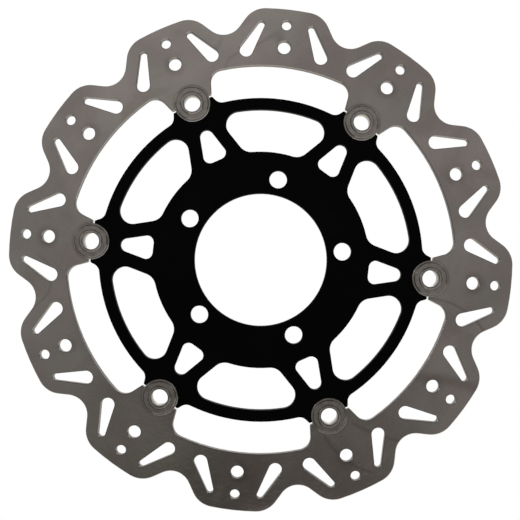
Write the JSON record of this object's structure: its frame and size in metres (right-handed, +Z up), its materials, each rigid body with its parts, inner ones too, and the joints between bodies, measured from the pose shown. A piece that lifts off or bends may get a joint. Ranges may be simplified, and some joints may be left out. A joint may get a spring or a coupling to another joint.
{
  "type": "floating brake disc rotor",
  "caption": "Wave-edged, slotted and drilled stainless brake ring that floats on hollow bobbins round a black alloy carrier with a bolt-on hub flange.",
  "frame": {"origin": "centre of the hub bore, in the plane of the rear mounting face that meets the wheel hub", "axes": "+Y along the disc's axis, from the outboard face towards the hub; +Z up; +X across the disc, through a lobe of the ring and midway between two bobbins"},
  "size_m": [0.3, 0.0113, 0.3],
  "materials": {
    "ground_stainless": "ground martensitic stainless, fine cross-hatched grinding marks, warm grey",
    "black_anodised": "satin black anodised",
    "bobbin_plated": "turned, dark grey plated",
    "washer_steel": "stamped stainless, satin",
    "spring_steel": "phosphated spring steel, dark grey"
  },
  "bodies": {
    "carrier": {"carrier": "black_anodised"},
    "wave_springs": {"wave_spring_1": "spring_steel", "wave_spring_2": "spring_steel", "wave_spring_3": "spring_steel", "wave_spring_4": "spring_steel", "wave_spring_5": "spring_steel", "wave_spring_6": "spring_steel"},
    "rotor": {"rotor": "ground_stainless"},
    "bobbin_1": {"bobbin_1": "bobbin_plated", "front_washer_1": "washer_steel", "rear_washer_1": "washer_steel", "circlip_1": "spring_steel"},
    "bobbin_2": {"bobbin_2": "bobbin_plated", "front_washer_2": "washer_steel", "rear_washer_2": "washer_steel", "circlip_2": "spring_steel"},
    "bobbin_3": {"bobbin_3": "bobbin_plated", "front_washer_3": "washer_steel", "rear_washer_3": "washer_steel", "circlip_3": "spring_steel"},
    "bobbin_4": {"bobbin_4": "bobbin_plated", "front_washer_4": "washer_steel", "rear_washer_4": "washer_steel", "circlip_4": "spring_steel"},
    "bobbin_5": {"bobbin_5": "bobbin_plated", "front_washer_5": "washer_steel", "rear_washer_5": "washer_steel", "circlip_5": "spring_steel"},
    "bobbin_6": {"bobbin_6": "bobbin_plated", "front_washer_6": "washer_steel", "rear_washer_6": "washer_steel", "circlip_6": "spring_steel"}
  },
  "joints": [
    {"name": "rotor_float", "type": "slide", "parent": "carrier", "child": "wave_springs", "axis": [0, 1, 0], "range_m": [0, 0.0003], "stiffness_N_per_m": 20000, "springref_m": -0.0005, "deforming": ["wave_spring_1", "wave_spring_2", "wave_spring_3", "wave_spring_4", "wave_spring_5", "wave_spring_6"]},
    {"name": "rotor_backlash", "type": "hinge", "parent": "wave_springs", "child": "rotor", "pos_m": [0, 0, 0], "axis": [0, 1, 0], "range_deg": [-0.06, 0.06]},
    {"name": "bobbin_spin_1", "type": "hinge", "parent": "carrier", "child": "bobbin_1", "pos_m": [0.0879, 0, 0.05075], "axis": [0, 1, 0], "continuous": true},
    {"name": "bobbin_spin_2", "type": "hinge", "parent": "carrier", "child": "bobbin_2", "pos_m": [0, 0, 0.1015], "axis": [0, 1, 0], "continuous": true},
    {"name": "bobbin_spin_3", "type": "hinge", "parent": "carrier", "child": "bobbin_3", "pos_m": [-0.0879, 0, 0.05075], "axis": [0, 1, 0], "continuous": true},
    {"name": "bobbin_spin_4", "type": "hinge", "parent": "carrier", "child": "bobbin_4", "pos_m": [-0.0879, 0, -0.05075], "axis": [0, 1, 0], "continuous": true},
    {"name": "bobbin_spin_5", "type": "hinge", "parent": "carrier", "child": "bobbin_5", "pos_m": [0, 0, -0.1015], "axis": [0, 1, 0], "continuous": true},
    {"name": "bobbin_spin_6", "type": "hinge", "parent": "carrier", "child": "bobbin_6", "pos_m": [0.0879, 0, -0.05075], "axis": [0, 1, 0], "continuous": true}
  ]
}
